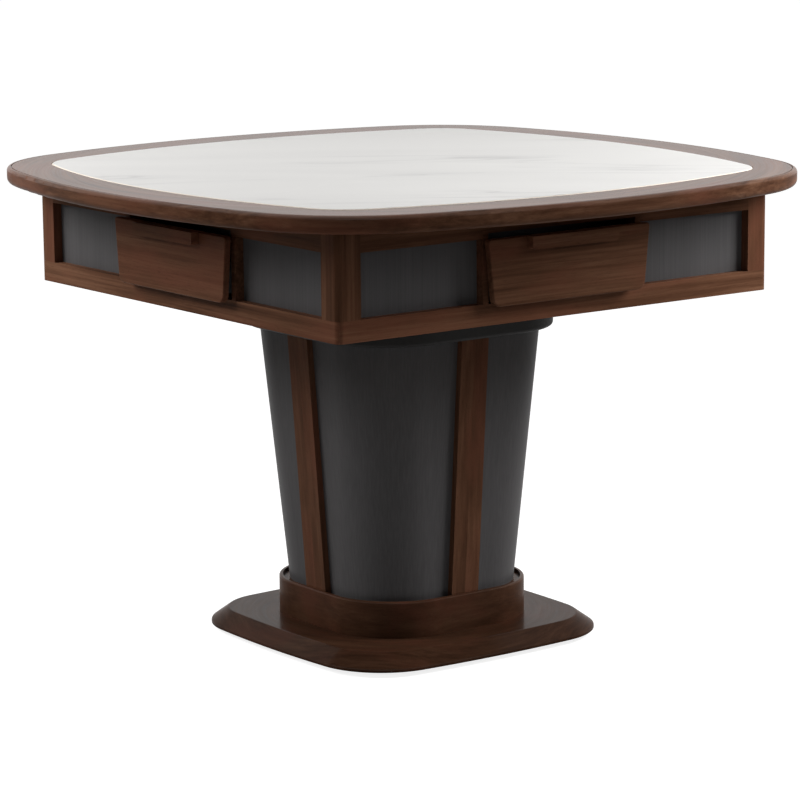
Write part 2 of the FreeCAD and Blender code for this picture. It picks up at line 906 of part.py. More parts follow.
# Playing board and its supports

def board_support(name):
    width = "support_width"
    corner = "-(post_inner - board_gap)"
    return box(name, width, width, "board_bottom - floor_top", corner, corner, "floor_top")


def board_form(name, thickness, level):
    """Square board notched for the posts, with four tile slots and a round middle hole."""
    slab = block(name + "_slab", "rail_inner - board_gap", "rail_inner - board_gap",
                 thickness, "0", "0", level)
    tools = [rod(name + "_hole", "console_hole_radius", thickness, "0", "0", level)]
    notch = "(rail_inner - post_inner)"
    middle = "(rail_inner + post_inner) / 2"
    for number, (x, y) in enumerate(corner_places(1), start=1):
        tools.append(block(f"{name}_notch_{number}", f"{notch} / 2 + board_gap",
                           f"{notch} / 2 + board_gap", thickness,
                           f"{x} * ({middle})", f"{y} * ({middle})", level))
    for number, sign in enumerate(("1", "-1")):
        offset = f"{sign} * slot_radius"
        tools.append(block(f"{name}_slot_x{number}", "slot_half_length", "slot_width / 2",
                           thickness, "0", offset, level))
        tools.append(block(f"{name}_slot_y{number}", "slot_width / 2", "slot_half_length",
                           thickness, offset, "0", level))
    return less(name + "_piece", slab, *tools)


ring_of_four("board_supports", board_support)
node("playing_board", board_form("board", "board_thickness", "board_bottom"))
node("playing_felt", board_form("felt", "felt_thickness", "board_top"))


# Tile wells, lifts, guides and motors

STEM_PLACES = (("right", "lift_stem_offset"), ("left", "-lift_stem_offset"))


def tile_well(name):
    """Open-ended trough under one tile slot."""
    trough = block(name + "_trough", "slot_half_length", "slot_width / 2 + well_wall",
                   "well_depth", "0", "-slot_radius", "well_bottom")
    hollow = block(name + "_hollow", "slot_half_length", "slot_width / 2",
                   "well_depth", "0", "-slot_radius", "well_bottom + well_wall")
    holes = []
    for side, x in STEM_PLACES:
        holes.append(rod(f"{name}_hole_{side}", "lift_stem_radius + lift_clearance", "well_wall",
                         x, "-slot_radius", "well_bottom"))
    return less(name, trough, hollow, *holes)


def tile_lift(name):
    """Plate that closes one slot and carries the tiles, on two stems."""
    plate = block(name + "_plate", "slot_half_length - lift_clearance",
                  "slot_width / 2 - lift_clearance", "lift_thickness",
                  "0", "-slot_radius", "felt_top - lift_thickness")
    stems = []
    for side, x in STEM_PLACES:
        stems.append(rod(f"{name}_stem_{side}", "lift_stem_radius", "lift_stem_length",
                         x, "-slot_radius", "felt_top - lift_thickness - lift_stem_length"))
    return joined(name, plate, *stems)


def guide_pair(name):
    """Two tubes on the floor in which the lift's stems run."""
    tubes = []
    for side, x in STEM_PLACES:
        wall = rod(f"{name}_{side}_wall", "guide_radius", "well_bottom - floor_top",
                   x, "-slot_radius", "floor_top")
        foot = rod(f"{name}_{side}_foot", "guide_foot_radius", "guide_foot_thickness",
                   x, "-slot_radius", "floor_top")
        bore = rod(f"{name}_{side}_bore", "lift_stem_radius + running_fit",
                   "well_bottom - floor_top", x, "-slot_radius", "floor_top")
        tubes.append(less(f"{name}_{side}", joined(f"{name}_{side}_solid", wall, foot), bore))
    return grouped(name + "_pair", *tubes)


def lift_motor(name):
    """Gear motor standing beside one guide."""
    case = block(name + "_case", "lift_motor_width / 2", "lift_motor_width / 2",
                 "lift_motor_height",
                 "lift_stem_offset + guide_foot_radius + lift_motor_width / 2",
                 "-slot_radius", "floor_top")
    drive = box(name + "_drive", "guide_foot_radius - guide_radius + lift_clearance",
                "guide_radius", "lift_motor_height / 2",
                "lift_stem_offset + guide_radius", "-slot_radius - guide_radius / 2",
                "floor_top + guide_foot_thickness")
    return joined(name, case, drive)


def console_motor():
    """Gear motor beside the console's stem, in the pedestal head."""
    return block("console_motor_form", "console_motor_length / 2", "console_motor_width / 2",
                 "console_motor_height",
                 "-(stem_radius + running_gap + console_motor_length / 2)", "0", "head_inside")


ring_of_four("tile_wells", tile_well)
one_per_side("tile_lift", tile_lift)
ring_of_four("lift_guides", guide_pair)
ring_of_four("lift_motors", lift_motor, console_motor())


# Shuffling drum

RIBS = 3


def drum():
    """Turning disc with a central hub, a drive skirt below and stirring ribs above."""
    seat = "drum_seat + running_gap"
    bore = "bearing_radius + running_fit"
    hub_top = "drum_floor + drum_hub_height"
    skirt_outer = "drum_skirt_radius + drum_skirt_wall"
    skirt_foot = "drum_underside - drum_skirt_drop"
    disc = revolved("drum_disc", [
        (bore, seat), ("drum_hub_radius", seat), ("drum_hub_radius", "drum_underside"),
        ("drum_skirt_radius", "drum_underside"), ("drum_skirt_radius", skirt_foot),
        (skirt_outer, skirt_foot), (skirt_outer, "drum_underside"),
        ("drum_radius", "drum_underside"), ("drum_radius", "drum_floor"),
        ("drum_hub_radius", "drum_floor"), ("drum_hub_tip_radius", hub_top), (bore, hub_top)])
    ribs = []
    for number in range(RIBS):
        rib = box(f"drum_rib_{number}", "drum_rib_length", "drum_rib_width", "drum_rib_height",
                  "drum_hub_radius + drum_rib_width", "-drum_rib_width / 2", "drum_floor")
        group = grouped(f"drum_rib_turned_{number}", rib)
        group.Placement = FreeCAD.Placement(FreeCAD.Vector(), FreeCAD.Rotation(UP, 360 * number / RIBS))
        ribs.append(group)
    return joined("drum_piece", disc, *ribs)


def drum_bearing():
    """Flanged bush on the floor: the drum turns on it and the console's stem slides in it."""
    bore = "stem_radius + running_fit"
    top = "floor_top + bearing_height"
    return revolved("drum_bearing_form", [
        (bore, "floor_top"), ("bearing_flange_radius", "floor_top"),
        ("bearing_flange_radius", "drum_seat"), ("bearing_radius", "drum_seat"),
        ("bearing_radius", top), (bore, top)])


def drum_housing():
    """Fixed wall round the drum, notched at the four pick-up wheels."""
    wall = rod("housing_wall_form", "housing_radius + housing_wall", "housing_height",
               "0", "0", "floor_top")
    tools = [rod("housing_bore", "housing_radius", "housing_height", "0", "0", "floor_top")]
    for number in range(4):
        notch = box(f"housing_notch_{number}", "2 * housing_radius", "window_width",
                    "housing_height", "housing_radius / 2", "-window_width / 2",
                    "floor_top + window_sill")
        group = grouped(f"housing_notch_turned_{number}", notch)
        turn = 45 + 90 * number
        group.Placement = FreeCAD.Placement(FreeCAD.Vector(), FreeCAD.Rotation(UP, turn))
        tools.append(group)
    return less("housing_piece", wall, *tools)


def drum_motor():
    """Motor hung under the floor, its shaft reaching up beside the drum's skirt."""
    plate_level = "case_bottom - motor_plate_thickness"
    can = rod("drum_motor_can", "motor_radius", "motor_height", "roller_orbit", "0",
              f"{plate_level} - motor_height")
    plate = block("drum_motor_plate", "motor_plate_half", "motor_plate_half",
                  "motor_plate_thickness", "roller_orbit", "0", plate_level)
    shaft = rod("drum_motor_shaft", "motor_shaft_radius",
                "drum_underside - running_gap - case_bottom", "roller_orbit", "0", "case_bottom")
    return joined("drum_motor_piece", can, plate, shaft)


def drive_roller():
    """Rubber roller that turns the drum by its skirt."""
    level = "drum_underside - drum_skirt_drop"
    tyre = rod("roller_tyre", "roller_radius - running_gap", "roller_height - 2 * running_gap",
               "roller_orbit", "0", level)
    bore = rod("roller_bore", "motor_shaft_radius + running_fit", "roller_height",
               "roller_orbit", "0", level)
    return less("roller_piece", tyre, bore)


node("drum_bearing", drum_bearing())
node("drum", drum())
node("drum_housing", drum_housing())
node("drum_motor", drum_motor())
node("drive_roller", drive_roller())


# Magnetic pick-up wheels

CORNERS = ("back_right", "back_left", "front_left", "front_right")
ALONG = FreeCAD.Vector(0, 1, 0)
MAGNETS = 8


def axle_rod(radius, start, length):
    """A cylinder along the wheel's axle, at the wheel's place on the +X side."""
    place = vector(size("wheel_orbit"), start, size("wheel_axle_level"))
    return Part.makeCylinder(radius, length, place, ALONG)


def magnet(number):
    """One disc magnet let into the wheel's rim."""
    angle = 2 * math.pi * number / MAGNETS
    outward = vector(math.cos(angle), 0, math.sin(angle))
    centre = vector(size("wheel_orbit"), 0, size("wheel_axle_level"))
    start = centre + outward * (size("wheel_radius") - size("magnet_depth") - size("running_gap"))
    return Part.makeCylinder(size("magnet_radius"), size("magnet_depth"), start, outward)


def pickup_wheel():
    """Wheel with a rim, a thin web, a hub and magnets let into the rim."""
    width, radius = size("wheel_width"), size("wheel_radius")
    wheel = axle_rod(radius, -width / 2, width)
    rim_inner = radius - size("magnet_depth") - size("magnet_radius")
    hub = axle_rod(size("wheel_hub_radius"), -width / 2, width)
    recess_depth = (width - size("wheel_web")) / 2
    for start in (-width / 2, size("wheel_web") / 2):
        recess = axle_rod(rim_inner, start, recess_depth)
        wheel = wheel.cut(recess.cut(hub))
    wheel = wheel.cut(axle_rod(size("motor_shaft_radius") + size("running_fit"), -width / 2, width))
    magnets = [magnet(number) for number in range(MAGNETS)]
    return Part.makeCompound([wheel.cut(magnets)] + magnets)


def pickup_motor():
    """Gear motor on a bracket, its shaft through the wheel."""
    width, length = size("wheel_width"), size("wheel_motor_length")
    start = width / 2 + size("wheel_motor_gap")
    can = axle_rod(size("wheel_motor_radius"), start, length)
    shaft = axle_rod(size("motor_shaft_radius"), -width / 2, width + size("wheel_motor_gap"))
    half = size("wheel_bracket_width") / 2
    low = size("floor_top")
    post = Part.makeBox(2 * half, 2 * half, size("wheel_level"),
                        vector(size("wheel_orbit") - half, start + half, low))
    return can.fuse([shaft, post])


def at_corner(item, number):
    item.Placement = FreeCAD.Placement(FreeCAD.Vector(), FreeCAD.Rotation(UP, 45 + 90 * number))
    return item


motors = []
for number, corner in enumerate(CORNERS):
    motors.append(at_corner(shaped("pickup_motor_" + corner, pickup_motor()), number))
    node("pickup_wheel_" + corner, at_corner(shaped("wheel_" + corner, pickup_wheel()), number))
node("pickup_motors", grouped("pickup_motor_set", *motors))


# Console

def console_body():
    """Round plate with a dice well, a hanging skirt and a stem that slides in the bearing."""
    well_foot = "dice_floor - dice_well_wall"
    well_outer = "dice_well_radius + dice_well_wall"
    skirt_inner = "console_skirt_radius - console_skirt_wall"
    stem_foot = "skirt_bottom - stem_length"
    form = revolved("console_form", [
        ("0", stem_foot), ("stem_radius", stem_foot), ("stem_radius", well_foot),
        (well_outer, well_foot), (well_outer, "console_underside"),
        (skirt_inner, "console_underside"), (skirt_inner, "skirt_bottom"),
        ("console_skirt_radius", "skirt_bottom"), ("console_skirt_radius", "console_underside"),
        ("console_radius", "console_underside"), ("console_radius", "console_top"),
        ("dice_well_radius", "console_top"), ("dice_well_radius", "dice_floor"),
        ("0", "dice_floor")])
    bore = rod("dice_axle_bore", "dice_axle_radius + running_fit",
               "dice_axle_length + running_gap", "0", "0",
               "dice_floor - dice_axle_length - running_gap")
    tools = [bore]
    long_half = "button_length / 2 + button_clearance"
    short_half = "button_width / 2 + button_clearance"
    for sign in ("1", "-1"):
        offset = f"{sign} * button_offset"
        name = "button_hole_" + ("a" if sign == "1" else "b")
        tools.append(block(name + "x", long_half, short_half, "console_plate_thickness",
                           "0", offset, "console_underside"))
        tools.append(block(name + "y", short_half, long_half, "console_plate_thickness",
                           offset, "0", "console_underside"))
    return less("console_piece", form, *tools)


def console_dome():
    """Clear cap over the dice well."""
    top = "console_top + dome_height"
    ceiling = f"{top} - dome_wall"
    shoulder = "dome_radius - dome_shoulder"
    inner = "dome_radius - dome_wall"
    inner_shoulder = f"{shoulder} - dome_wall / 2"
    return revolved("dome_form", [
        (inner, "console_top"), ("dome_radius", "console_top"),
        ("dome_radius", f"{top} - dome_shoulder"), (shoulder, top), ("0", top),
        ("0", ceiling), (inner_shoulder, ceiling), (inner, f"{ceiling} - dome_shoulder / 2")])


def dice_disc():
    disc = rod("dice_disc_plate", "dice_disc_radius", "dice_disc_thickness",
               "0", "0", "dice_floor + running_gap")
    axle = rod("dice_disc_axle", "dice_axle_radius", "dice_axle_length + running_gap",
               "0", "0", "dice_floor - dice_axle_length")
    return joined("dice_disc_piece", disc, axle)


def dice():
    side, level = size("die_side"), size("dice_floor") + size("running_gap") + size("dice_disc_thickness")
    pair = []
    for sign in (-1, 1):
        corner = vector(sign * size("die_offset") - side / 2, -side / 2, level)
        die = Part.makeBox(side, side, side, corner)
        pair.append(die.makeFillet(size("die_round"), die.Edges))
    return Part.makeCompound(pair)


def console_button(name):
    return block(name, "button_length / 2", "button_width / 2", "button_depth + button_proud",
                 "0", "-button_offset", "console_top - button_depth")


node("console_body", console_body())
node("console_dome", console_dome())
node("dice_disc", dice_disc())
node("dice", shaped("dice_form", dice()))
one_per_side("console_button", console_button)


# Electrics in the pedestal head

HEAD_MIDDLE = "(column_head + case_bottom) / 2"
SWITCH_TILT = 4


def power_supply():
    return block("supply_form", "supply_length / 2", "supply_width / 2", "supply_height",
                 "0", "supply_offset", "head_inside")


def control_unit():
    return block("control_form", "control_width / 2", "control_length / 2", "control_height",
                 "0", "-control_offset", "head_inside")


def mains_inlet():
    """Socket and switch housing in the back of the pedestal head, a pin across its switch hole."""
    face = "head_half + inlet_flange_thickness"
    housing = box("inlet_housing", "inlet_length", "inlet_depth", "inlet_height",
                  "-inlet_length / 2", f"{face} - inlet_depth", f"{HEAD_MIDDLE} - inlet_height / 2")
    flange = box("inlet_flange_form", "inlet_length + 2 * inlet_flange", "inlet_flange_thickness",
                 "inlet_height + 2 * inlet_flange", "-inlet_length / 2 - inlet_flange",
                 "head_half", f"{HEAD_MIDDLE} - inlet_height / 2 - inlet_flange")
    socket = box("inlet_socket", "socket_length", "socket_depth", "socket_height",
                 "socket_offset - socket_length / 2", f"{face} - socket_depth",
                 f"{HEAD_MIDDLE} - socket_height / 2")
    width = "switch_length + 2 * switch_clearance"
    height = "switch_height + 2 * switch_clearance"
    switch_hole = box("inlet_switch_hole", width, "switch_depth + 2 * switch_clearance", height,
                      f"-switch_offset - ({width}) / 2",
                      f"{face} - switch_depth - 2 * switch_clearance",
                      f"{HEAD_MIDDLE} - ({height}) / 2")
    hollow = less("inlet_hollow", joined("inlet_solid", housing, flange), socket, switch_hole)
    pin = rod("switch_pin", "switch_pin_radius", width, f"-switch_offset - ({width}) / 2",
              f"{face} - switch_depth / 2", HEAD_MIDDLE, FreeCAD.Vector(1, 0, 0))
    return joined("inlet_piece", hollow, pin)


def mains_switch():
    """Rocker on the housing's pin, resting with its lower end pressed in."""
    face = size("head_half") + size("inlet_flange_thickness")
    middle = (size("column_head") + size("case_bottom")) / 2
    depth = size("switch_depth") + size("switch_proud")
    corner = vector(-size("switch_offset") - size("switch_length") / 2,
                    face + size("switch_proud") - depth, middle - size("switch_height") / 2)
    rocker = Part.makeBox(size("switch_length"), depth, size("switch_height"), corner)
    pivot = vector(-size("switch_offset"), face - size("switch_depth") / 2, middle)
    rocker.rotate(pivot, vector(1, 0), -SWITCH_TILT)
    bore_start = vector(corner.x, pivot.y, pivot.z)
    return rocker.cut(Part.makeCylinder(size("switch_pin_radius") + size("running_fit"),
                                        size("switch_length"), bore_start, vector(1, 0)))


node("power_supply", power_supply())
node("control_unit", control_unit())
node("mains_inlet", mains_inlet())
node("mains_switch", shaped("mains_switch_form", mains_switch()))


# Fasteners

def bolt(x, y, seat, length, direction):
    """Bolt whose head rests on the seat and whose shank runs the other way."""
    head = Part.makeCylinder(size("bolt_head_radius"), size("bolt_head_height"),
                             vector(x, y, seat), UP * direction)
    shank = Part.makeCylinder(size("bolt_radius"), length, vector(x, y, seat), UP * -direction)
    return head.fuse(shank)


def bolts():
    """Foot, head and floor bolts that hold the pedestal together."""
    foot_seat = size("base_top") + size("core_flange_thickness")
    floor_seat = size("case_bottom") - size("head_wall")
    pieces = [bolt(x, y, foot_seat, size("foot_bolt_length"), 1)
              for x, y in corner_places(size("foot_bolt_offset"))]
    pieces += [bolt(x, y, size("head_inside"), size("head_bolt_length"), 1)
               for x, y in corner_places(size("head_bolt_offset"))]
    pieces += [bolt(x, y, floor_seat, size("floor_bolt_length"), -1)
               for x, y in floor_bolt_places()]
    return Part.makeCompound(pieces)


node("bolts", shaped("bolts_form", bolts()))


# Dining cover

def stone_outline(outset, level):
    return bowed_outline(size("stone_half") + outset, size("stone_side_radius") + outset,
                         size("stone_corner_radius") + outset, level)


def rim_outline(outset, level):
    return bowed_outline(size("cover_half") + outset, size("cover_side_radius") + outset,
                         size("cover_corner_radius") + outset, level)


def cover_rim():
    """Bowed wooden ring round the stone: a flat top, a fine groove and a rounded edge."""
    low, high = size("cover_bottom"), size("rim_top")
    ring = prism(rim_outline(size("cover_bulge"), low), high - low)
    ring = ring.makeFillet(size("cover_top_round"), flat_edges(ring, high))
    ring = ring.makeFillet(size("cover_foot_round"), flat_edges(ring, low))
    ring = ring.cut(prism(stone_outline(size("stone_gap"), low), high - low))
    floor = high - size("quirk_depth")
    groove = prism(rim_outline(0, floor), size("quirk_depth"))
    groove = groove.cut(prism(rim_outline(-size("quirk_width"), floor), size("quirk_depth")))
    return segmented(ring.cut(groove), size("cover_seam"), low, high)


def cover_stone():
    """Stone panel let into the rim, standing a little proud, its top edge bevelled."""
    panel = prism(stone_outline(0, size("stone_bottom")), size("stone_thickness"))
    return panel.makeChamfer(size("stone_edge_bevel"), flat_edges(panel, size("cover_top")))


def cover_locator(name):
    """Rubber corner pad on a post's top, with a lip that drops inside the frame."""
    start = "-(post_inner - locator_gap)"
    lip = box(name + "_lip", "locator_lip", "locator_lip", "locator_drop",
              start, start, "case_top - locator_drop")
    outer = f"{start} + locator_lip - locator_length"
    pad = box(name + "_pad", "locator_length", "locator_length", "locator_thickness",
              outer, outer, "case_top")
    return joined(name, lip, pad)


node("cover_stone", shaped("cover_stone_form", cover_stone()))
node("cover_board", shaped("cover_board_form",
                           prism(stone_outline(0, size("cover_bottom")),
                                 size("stone_bottom") - size("cover_bottom"))))
node("cover_rim", shaped("cover_rim_form", cover_rim()))
ring_of_four("cover_locators", cover_locator)


# Check every object, then write one file per node

def faults():
    found = []
    for item in doc.Objects:
        if "Invalid" in item.State or "Error" in item.State:
            found.append(f"{item.Name}: {item.State}")
    for item in nodes:
        shape = item.Shape
        if shape.isNull() or not shape.isValid() or not shape.Solids:
            found.append(f"{item.Label}: bad shape")
    return found


doc.recompute()
problems = faults()
if problems:
    raise RuntimeError("; ".join(problems))
os.makedirs("parts", exist_ok=True)
for item in nodes:
    item.Shape.exportStep(f"parts/{item.Label}.step")
print(len(nodes), "nodes written")
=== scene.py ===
import math

import bpy
from mathutils import Matrix, Vector

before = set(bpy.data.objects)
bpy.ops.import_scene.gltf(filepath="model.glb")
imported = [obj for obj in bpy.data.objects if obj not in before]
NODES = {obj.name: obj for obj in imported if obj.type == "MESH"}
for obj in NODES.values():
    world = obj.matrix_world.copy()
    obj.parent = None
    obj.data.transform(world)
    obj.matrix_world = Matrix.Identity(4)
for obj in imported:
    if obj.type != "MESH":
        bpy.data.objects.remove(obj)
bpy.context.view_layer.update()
SIDES = ("front", "right", "back", "left")
CORNERS = ("back_right", "back_left", "front_left", "front_right")
WHITE = (1.0, 1.0, 1.0, 1.0)

# Blender's Mix node has one set of sockets for numbers and one for colours
MIX_FACTOR = 0
MIX_NUMBERS, MIXED_NUMBER = (2, 3), 0
MIX_COLOURS, MIXED_COLOUR = (6, 7), 2

NOISE_RANGE = (0.3, 0.7)        # where most values of a noise lie


# Node trees

class Tree:
    """Adds and links the nodes of one material or world."""

    def __init__(self, owner):
        owner.use_nodes = True
        self.tree = owner.node_tree
        self.tree.nodes.clear()

    def feed(self, socket, value):
        """Link a socket to another one, or set it to a constant."""
        if isinstance(value, bpy.types.NodeSocket):
            self.tree.links.new(value, socket)
        else:
            socket.default_value = value

    def node(self, kind, inputs=(), **settings):
        """Add a node, with its settings first. Inputs go by name or by number."""
        made = self.tree.nodes.new(kind)
        for name, value in settings.items():
            setattr(made, name, value)
        for name, value in dict(inputs).items():
            self.feed(made.inputs[name], value)
        return made

    def calc(self, operation, *values):
        made = self.node("ShaderNodeMath", enumerate(values), operation=operation)
        return made.outputs[0]

    def weighted(self, *parts):
        """The sum of several values, each given with its share."""
        total, *others = [self.calc("MULTIPLY", value, share) for share, value in parts]
        for term in others:
            total = self.calc("ADD", total, term)
        return total

    def step(self, value, source, target=(0.0, 1.0)):
        """Map a value from one range onto another, clamped."""
        made = self.node("ShaderNodeMapRange", {
            "Value": value, "From Min": source[0], "From Max": source[1],
            "To Min": target[0], "To Max": target[1]})
        return made.outputs[0]

    def pick(self, factor, first, second):
        """Number mix."""
        low, high = MIX_NUMBERS
        made = self.node("ShaderNodeMix", {MIX_FACTOR: factor, low: first, high: second},
                         data_type="FLOAT")
        return made.outputs[MIXED_NUMBER]

    def blend(self, factor, base, over):
        """Colour mix, where over is a fixed colour."""
        low, high = MIX_COLOURS
        made = self.node("ShaderNodeMix", {MIX_FACTOR: factor, low: base, high: (*over, 1.0)},
                         data_type="RGBA")
        return made.outputs[MIXED_COLOUR]

    def ramp(self, factor, *stops):
        made = self.node("ShaderNodeValToRGB", {"Fac": factor})
        elements = made.color_ramp.elements
        while len(elements) < len(stops):
            elements.new(1.0)
        for element, (position, colour) in zip(elements, stops):
            element.position = position
            element.color = (*colour, 1.0)
        return made.outputs[0]

    def vector(self, x, y, z):
        return self.node("ShaderNodeCombineXYZ", {"X": x, "Y": y, "Z": z}).outputs[0]

    def split(self, vector):
        return self.node("ShaderNodeSeparateXYZ", {"Vector": vector}).outputs

    def between(self, operation, first, second):
        """Vector arithmetic."""
        made = self.node("ShaderNodeVectorMath", {0: first, 1: second}, operation=operation)
        return made.outputs[0]

    def noise(self, vector, scale, detail, distortion=0.0, roughness=0.5):
        """Noise at one scale, or at one for each axis, counted per metre."""
        if isinstance(scale, tuple):
            vector, scale = self.between("MULTIPLY", vector, scale), 1.0
        return self.node("ShaderNodeTexNoise", {
            "Vector": vector, "Scale": scale, "Detail": detail,
            "Distortion": distortion, "Roughness": roughness}).outputs[0]


class Recipe(Tree):
    """One material with a principled shader. Keywords set the shader's constants."""

    def __init__(self, name, **constants):
        self.material = bpy.data.materials.new(name)
        super().__init__(self.material)
        self.shader = self.node("ShaderNodeBsdfPrincipled")
        self.node("ShaderNodeOutputMaterial", {"Surface": self.shader.outputs[0]})
        self.place = self.node("ShaderNodeTexCoord").outputs["Object"]
        for socket, value in constants.items():
            self.shader.inputs[socket.replace("_", " ")].default_value = value

    def upward(self):
        """How far a face looks up: 1 on a level top, 0 on an upright side."""
        return self.split(self.node("ShaderNodeNewGeometry").outputs["Normal"])[2]

    def surface(self, colour, roughness, height=None, depth=None, strength=None):
        """Finish the material with what varies over it: colour, roughness and relief."""
        if colour is not None:
            self.feed(self.shader.inputs["Base Color"], colour)
        self.feed(self.shader.inputs["Roughness"], roughness)
        if height is not None:
            bump = self.node("ShaderNodeBump", {
                "Height": height, "Strength": strength, "Distance": depth})
            self.feed(self.shader.inputs["Normal"], bump.outputs[0])
        return self.material


def toned(colour, tone):
    return tuple(min(1.0, channel * tone) for channel in colour)


# How the grain runs: along the side that a piece lies on, up the piece, or round the table

# Each side is moved along the wood, in metres, so that no two show the same stretch
OPPOSITE_SHIFT = 2.3    # one way for a side and the other way for its opposite
NEIGHBOUR_SHIFT = 5.1   # more for the left and right sides
LEFT_RIGHT_SHIFT = 1.7
FRONT_BACK_SHIFT = 3.1
METRES_PER_RADIAN = 0.5


def grain_around(recipe):
    """Along the nearest side of the table, mitred at its corners."""
    x, y, z = recipe.split(recipe.place)
    on_side = recipe.calc("GREATER_THAN", recipe.calc("ABSOLUTE", x), recipe.calc("ABSOLUTE", y))
    along = recipe.pick(on_side, x, y)
    across = recipe.pick(on_side, y, x)
    shift = recipe.weighted((OPPOSITE_SHIFT, recipe.calc("SIGN", across)),
                            (NEIGHBOUR_SHIFT, on_side))
    return recipe.vector(recipe.calc("ADD", along, shift), across, z)


def grain_up(recipe):
    """Up the piece, each side with its own stretch of wood."""
    x, y, z = recipe.split(recipe.place)
    shift = recipe.weighted((LEFT_RIGHT_SHIFT, recipe.calc("SIGN", x)),
                            (FRONT_BACK_SHIFT, recipe.calc("SIGN", y)))
    return recipe.vector(recipe.calc("ADD", z, shift), x, y)


def grain_round(recipe):
    """Round the table in one run, joined at the back right corner."""
    x, y, z = recipe.split(recipe.place)
    forward = recipe.weighted((-1.0, x), (-1.0, y))
    turn = recipe.calc("ARCTAN2", recipe.calc("SUBTRACT", x, y), forward)
    squares = [recipe.calc("MULTIPLY", share, share) for share in (x, y)]
    radius = recipe.calc("SQRT", recipe.calc("ADD", *squares))
    return recipe.vector(recipe.calc("MULTIPLY", turn, METRES_PER_RADIAN), radius, z)


# Walnut

WALNUT_DARK = (0.024, 0.0101, 0.0054)
WALNUT_MID = (0.080, 0.0362, 0.0202)
WALNUT_LIGHT = (0.150, 0.0745, 0.0435)
WALNUT_RED = (0.126, 0.0460, 0.0275)
FIGURE_SCALE, FIGURE_SHARE = (2.2, 19.0, 19.0), 0.34
FIBRE_SCALE, FIBRE_SHARE = (6.0, 260.0, 260.0), 0.30
STREAK_SCALE, STREAK_SHARE = (2.6, 90.0, 90.0), 0.36
BLOTCH_SCALE, BLOTCH_RANGE, REDNESS = (5.0, 16.0, 16.0), (0.46, 0.66), 0.55
PORE_SCALE, PORE_RANGE, PORE_DARKNESS = (60.0, 1500.0, 1500.0), (0.60, 0.72), 0.45
WALNUT_MIDDLE, WALNUT_SPREAD = 0.49, 0.17
WALNUT_ROUGHNESS = (0.31, 0.43)
FIBRE_RELIEF = 0.5      # against 1 for a pore
PIECE_SHIFT = 7.0       # metres of wood that the pieces are cut from

# How far a face looks up where its polish sets in, and where it is a bevel
TOP_FACE = (0.05, 0.40)
BEVEL_FROM, BEVEL_TO = (0.60, 0.74), (0.88, 0.96)


def polished(recipe, polish, slopes):
    """The weight of a coat on faces that look up, where a bevel keeps only a share of it."""
    upward = recipe.upward()
    coat = recipe.step(upward, TOP_FACE, (0.0, polish))
    on_bevel = recipe.calc("MULTIPLY", recipe.step(upward, BEVEL_FROM),
                           recipe.step(upward, BEVEL_TO, (1.0, 0.0)))
    return recipe.calc("MULTIPLY", coat, recipe.step(on_bevel, (0.0, 1.0), (1.0, slopes)))


def walnut(name, grain, tone, contrast=1.0, polish=0.0, slopes=1.0):
    """Dark reddish walnut: fibres, a broad figure, streaks and pores.

    tone scales its colours and contrast sets them apart. polish is the coat on top faces, and
    slopes the share of it that a bevel keeps.
    """
    recipe = Recipe(name, Specular_IOR_Level=0.012, Coat_Roughness=0.14, Coat_IOR=1.4)
    piece = recipe.node("ShaderNodeObjectInfo").outputs["Random"]
    own = recipe.calc("MULTIPLY", piece, PIECE_SHIFT)
    along = recipe.between("ADD", grain(recipe), recipe.vector(own, own, 0.0))
    figure = recipe.noise(along, FIGURE_SCALE, detail=5.0, distortion=1.1)
    fibres = recipe.noise(along, FIBRE_SCALE, detail=6.0, roughness=0.62)
    streaks = recipe.noise(along, STREAK_SCALE, detail=4.0, distortion=0.4)
    blotch = recipe.noise(along, BLOTCH_SCALE, detail=3.0)
    pores = recipe.noise(along, PORE_SCALE, detail=2.0)
    value = recipe.weighted((FIGURE_SHARE, figure), (FIBRE_SHARE, fibres),
                            (STREAK_SHARE, streaks))
    dark, mid, light, red = (toned(colour, tone) for colour in
                             (WALNUT_DARK, WALNUT_MID, WALNUT_LIGHT, WALNUT_RED))
    spread = WALNUT_SPREAD / contrast
    colour = recipe.ramp(value, (WALNUT_MIDDLE - spread, dark), (WALNUT_MIDDLE, mid),
                         (WALNUT_MIDDLE + spread, light))
    colour = recipe.blend(recipe.step(blotch, BLOTCH_RANGE, (0.0, REDNESS)), colour, red)
    pore = recipe.step(pores, PORE_RANGE)
    colour = recipe.blend(recipe.calc("MULTIPLY", pore, PORE_DARKNESS), colour, dark)
    if polish:
        recipe.feed(recipe.shader.inputs["Coat Weight"], polished(recipe, polish, slopes))
    rough = recipe.step(fibres, NOISE_RANGE, WALNUT_ROUGHNESS)
    height = recipe.calc("SUBTRACT", recipe.calc("MULTIPLY", fibres, FIBRE_RELIEF), pore)
    return recipe.surface(colour, rough, height, depth=0.00012, strength=0.35)


# Charcoal veneer

CHARCOAL_DARK = (0.067, 0.0640, 0.0650)
CHARCOAL_MID = (0.078, 0.0745, 0.0755)
CHARCOAL_LIGHT = (0.090, 0.0860, 0.0870)
CHARCOAL_STOPS = (0.30, 0.50, 0.70)
LINE_SCALE, LINE_SHARE = (420.0, 420.0, 5.0), 0.65
BROAD_SCALE, BROAD_SHARE = (26.0, 26.0, 1.6), 0.35
CHARCOAL_ROUGHNESS = (0.42, 0.54)


